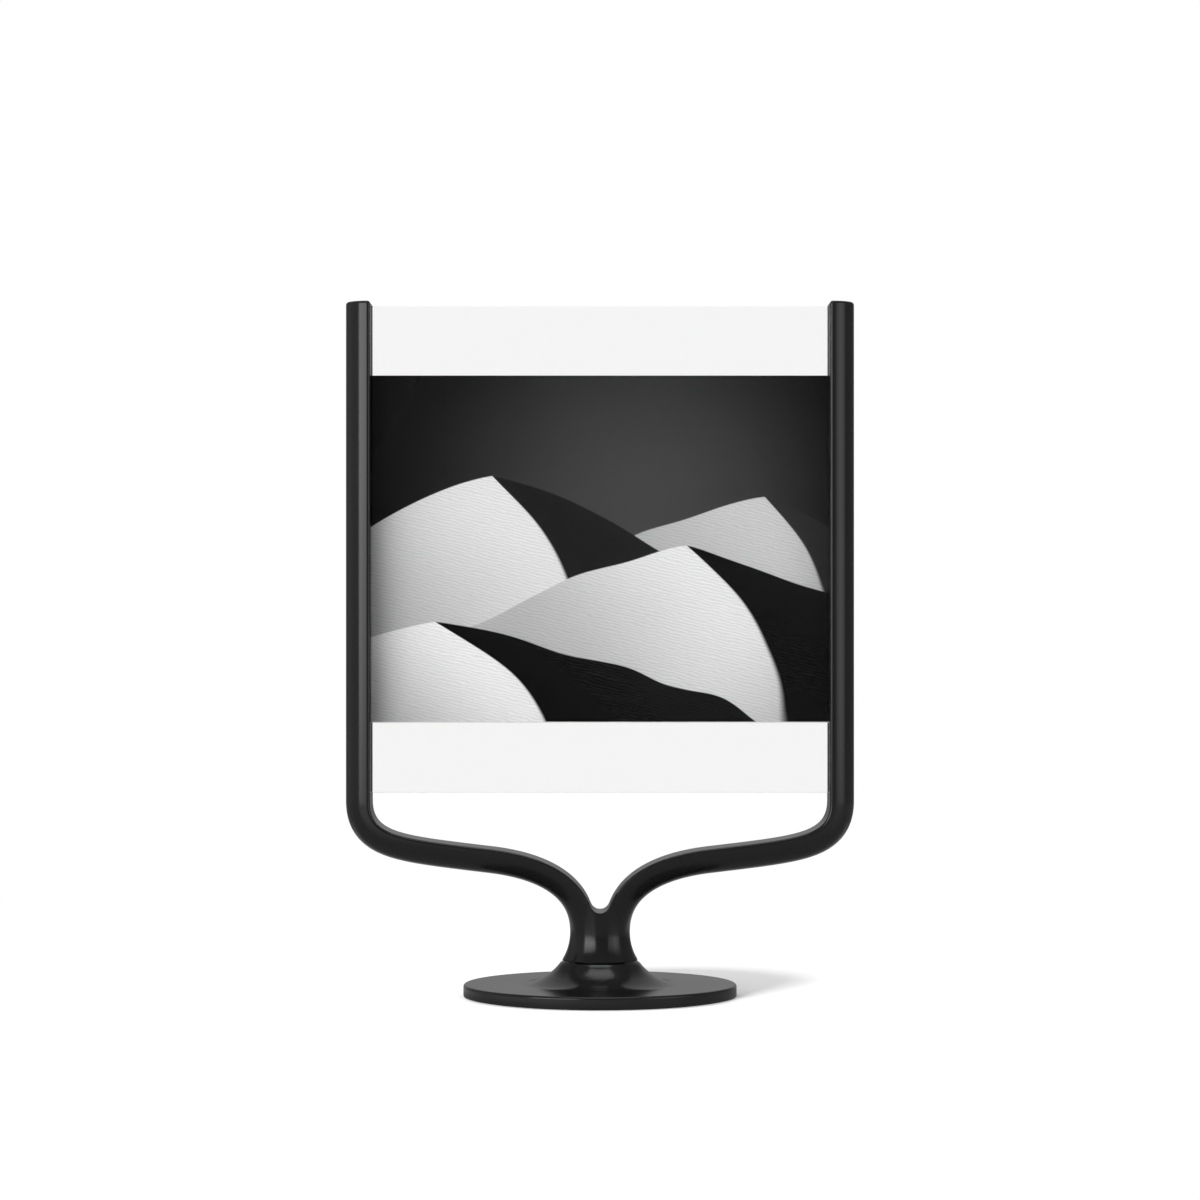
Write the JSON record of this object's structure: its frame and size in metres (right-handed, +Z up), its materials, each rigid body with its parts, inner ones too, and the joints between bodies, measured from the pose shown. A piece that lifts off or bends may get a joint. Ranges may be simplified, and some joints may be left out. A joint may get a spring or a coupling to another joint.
{
  "type": "rotating photo frame",
  "caption": "Tabletop photo frame: a flared round foot carries a forked half-round yoke that turns on a pivot and holds clear panes with prints between them.",
  "frame": {"origin": "centre of the footprint, on the table", "axes": "+Z up along the pivot, arms along X, front faces -Y"},
  "size_m": [0.186, 0.1, 0.2542],
  "materials": {
    "satin_black_coat": "satin black powder coat",
    "pad_foam": "fine-cell foam sheet",
    "black_acetal": "turned, satin",
    "zinc_steel": "bright zinc plate",
    "clear_acrylic": "polished clear sheet",
    "photo_paper": "lustre photographic paper"
  },
  "bodies": {
    "base": {"base_disc": "satin_black_coat", "base_pad": "pad_foam", "lower_bush": "black_acetal", "upper_bush": "black_acetal"},
    "yoke": {"yoke": "satin_black_coat", "pivot_stud": "zinc_steel", "flat_washer": "zinc_steel", "wave_washer": "zinc_steel", "lock_nut": "zinc_steel"},
    "photo_pack": {"front_pane": "clear_acrylic", "front_print": "photo_paper", "rear_print": "photo_paper", "rear_pane": "clear_acrylic"}
  },
  "joints": [
    {"name": "yoke_turn", "type": "hinge", "parent": "base", "child": "yoke", "pos_m": [0, 0, 0.0135], "axis": [0, 0, 1], "continuous": true},
    {"name": "pack_lift", "type": "slide", "parent": "yoke", "child": "photo_pack", "axis": [0, 0, 1], "range_m": [0, 0.18]}
  ]
}
